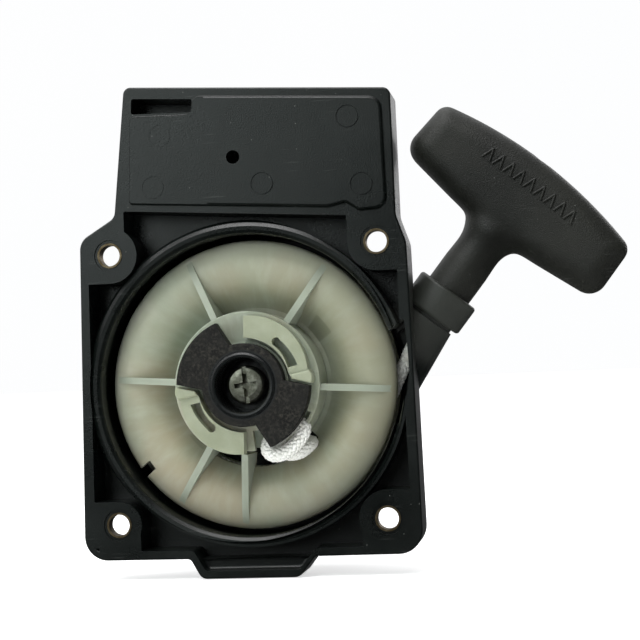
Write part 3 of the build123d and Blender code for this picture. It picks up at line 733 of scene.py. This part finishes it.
def grip_chevrons(handle):
    """The chevrons laid on the grip's crowned front face."""
    seed = shown("chevron_seed", bpy.data.meshes.new("chevron_seed"))
    thing = chevron_tree().grow(seed, "grip_chevrons")
    surface = BVHTree.FromObject(handle, bpy.context.evaluated_depsgraph_get())
    for v in thing.data.vertices:
        across = ROW_ACROSS + v.co.x * cos(ROW_TILT) + v.co.y * sin(ROW_TILT)
        bow = ROW_BOW * (across / MM) ** 2 * MM
        along = ROW_ALONG - v.co.x * sin(ROW_TILT) + v.co.y * cos(ROW_TILT) - bow
        start = on_handle(along, across)
        start.y = cad_low.y - 10 * MM
        hit = surface.ray_cast(start, Vector((0, 1, 0)))[0]
        v.co = Vector((start.x, hit.y - ROW_SUNK - v.co.z, start.z))
    return belongs(thing, "handle", "black_nylon", GRIP_PLASTIC)


# ---------- reel ----------

RIB_ANGLES = (56, 116, 176, 236, 265, 356)
RIB_HALF_WIDTH = 0.93 * MM
RIB_INNER, RIB_OUTER = 19.6 * MM, 38.4 * MM
RIB_FOOT = 13 * MM


def on_rib(spot, angle):
    heading = Vector((cos(radians(angle)), 0, sin(radians(angle))))
    sideways = Vector((-heading.z, 0, heading.x))
    in_width = abs(spot.dot(sideways)) < RIB_HALF_WIDTH
    return in_width and RIB_INNER < spot.dot(heading) < RIB_OUTER and spot.y < RIB_FOOT


def rope_reel():
    """The reel with smooth dished faces, and its ribs in their own bluish tone."""
    thing = shown("rope_reel", welded("reel", 28))
    belongs(thing, "reel", "reel_nylon", FINISHES["reel_nylon"], "reel")
    thing.data.materials.append(rib_nylon())
    for face in thing.data.polygons:
        if any(on_rib(face.center, angle) for angle in RIB_ANGLES):
            face.material_index = 1
    return thing


# ---------- stage ----------

CAMERA_YAW = radians(9.0)
CAMERA_PITCH = radians(-2.0)
CAMERA_ROLL = radians(2.38)
CAMERA_DISTANCE = 400 * MM
CAMERA_TARGET = Vector((20.95, 0, 16.6)) * MM
CAMERA_LENS = 83.7


def camera():
    level = cos(CAMERA_PITCH)
    back = Vector((sin(CAMERA_YAW) * level, -cos(CAMERA_YAW) * level, sin(CAMERA_PITCH)))
    right = (-back).cross(Vector((0, 0, 1))).normalized()
    up = right.cross(-back)
    across = right * cos(CAMERA_ROLL) - up * sin(CAMERA_ROLL)
    upright = right * sin(CAMERA_ROLL) + up * cos(CAMERA_ROLL)
    data = bpy.data.cameras.new("camera")
    data.lens = CAMERA_LENS
    data.sensor_width = 36
    data.clip_start = 0.01
    data.clip_end = 50
    thing = bpy.data.objects.new("camera", data)
    bpy.context.scene.collection.objects.link(thing)
    turned = Matrix((across, upright, back)).transposed().to_4x4()
    thing.matrix_world = Matrix.Translation(CAMERA_TARGET + back * CAMERA_DISTANCE) @ turned
    bpy.context.scene.camera = thing


def softbox(name, place, aim, size, power, tone=(1, 1, 1)):
    data = bpy.data.lights.new(name, "AREA")
    data.shape = "RECTANGLE"
    data.size, data.size_y = size
    data.energy = power
    data.color = tone
    thing = bpy.data.objects.new(name, data)
    bpy.context.scene.collection.objects.link(thing)
    thing.location = place
    thing.rotation_mode = "QUATERNION"
    thing.rotation_quaternion = (Vector(aim) - Vector(place)).to_track_quat("-Z", "Y")


def backdrop():
    """A pale dome that only the camera sees, so the object stands on white from every side."""
    shell = bmesh.new()
    bmesh.ops.create_uvsphere(shell, u_segments=48, v_segments=24, radius=11.0)
    bmesh.ops.reverse_faces(shell, faces=shell.faces)
    mesh = bpy.data.meshes.new("backdrop")
    shell.to_mesh(mesh)
    shell.free()
    dome = shown("backdrop", mesh)
    f = Finish("backdrop_white")
    glow = f.mix(f.cloud(0.2), (0.97, 0.98, 0.99), (1.0, 1.0, 1.0))
    dress(dome, f.done(Base_Color=(0.0, 0.0, 0.0), Roughness=1.0, Emission_Color=glow, Emission_Strength=1.0))
    dome.visible_diffuse = dome.visible_glossy = dome.visible_transmission = dome.visible_shadow = False


FRONT_LIGHT = 0.04                  # how bright the surroundings are where they are darkest
BRIGHT_SIDE = (-0.55, 0.25, 0.8)    # they are brightest above and to the left


def surroundings():
    """Soft light from above and the left, and little from the front, so that dark faces stay dark."""
    world = bpy.data.worlds.new("studio")
    world.use_nodes = True
    nodes, links = world.node_tree.nodes, world.node_tree.links
    heading = nodes.new("ShaderNodeVectorMath")
    heading.operation = "DOT_PRODUCT"
    heading.inputs[1].default_value = BRIGHT_SIDE
    links.new(nodes.new("ShaderNodeTexCoord").outputs["Generated"], heading.inputs[0])
    level = nodes.new("ShaderNodeMapRange")
    level.interpolation_type = "SMOOTHSTEP"
    links.new(heading.outputs["Value"], level.inputs[0])
    for k, value in enumerate((-0.10, 0.95, FRONT_LIGHT, 1.0)):
        level.inputs[k + 1].default_value = value
    links.new(level.outputs[0], nodes["Background"].inputs["Strength"])
    nodes["Background"].inputs["Color"].default_value = (0.98, 0.99, 1.0, 1)
    bpy.context.scene.world = world


def ground():
    """A pale floor under the part, kept out of the reflections in the black plastic."""
    mesh = bpy.data.meshes.new("floor")
    low = cad_low.z - 0.2 * MM
    reach = 8.0
    mesh.from_pydata([(-reach, -reach, low), (reach, -reach, low), (reach, reach, low), (-reach, reach, low)],
                     [], [(0, 1, 2, 3)])
    floor = shown("floor", mesh)
    f = Finish("floor_white")
    grain = f.cloud(6.0, detail=2.0)
    dress(floor, f.done(Base_Color=f.mix(grain, (0.90, 0.90, 0.90), (0.94, 0.94, 0.94)), Roughness=0.8,
                        Emission_Color=(1, 1, 1), Emission_Strength=0.60))
    floor.visible_glossy = False


def studio():
    surroundings()
    ground()
    backdrop()
    softbox("key", (-0.12, -0.52, 0.84), (0, 0, 0), (0.5, 0.5), 5.6)
    softbox("sheen", (-0.36, -0.787, 0.28), (0, 0, 0), (0.50, 0.52), 1.55, (0.90, 1.0, 0.98))
    softbox("top", (0.0, 0.35, 0.95), (0, 0, 0), (0.8, 0.5), 2.0)
    softbox("edge", (-0.62, -0.10, 0.62), (0, 0, 0), (0.2, 0.2), 1.2)
    softbox("rear", (0.45, 0.85, 0.35), (0, 0, 0), (0.4, 0.5), 1.6)
    bpy.context.scene.view_settings.view_transform = "Standard"


finish_frame()
camera()
studio()
handle = t_handle()
grip_chevrons(handle)
rope_reel()
braid = braid_tree()
rope_lead(braid)
reel_knot(braid)
pulled_rope()
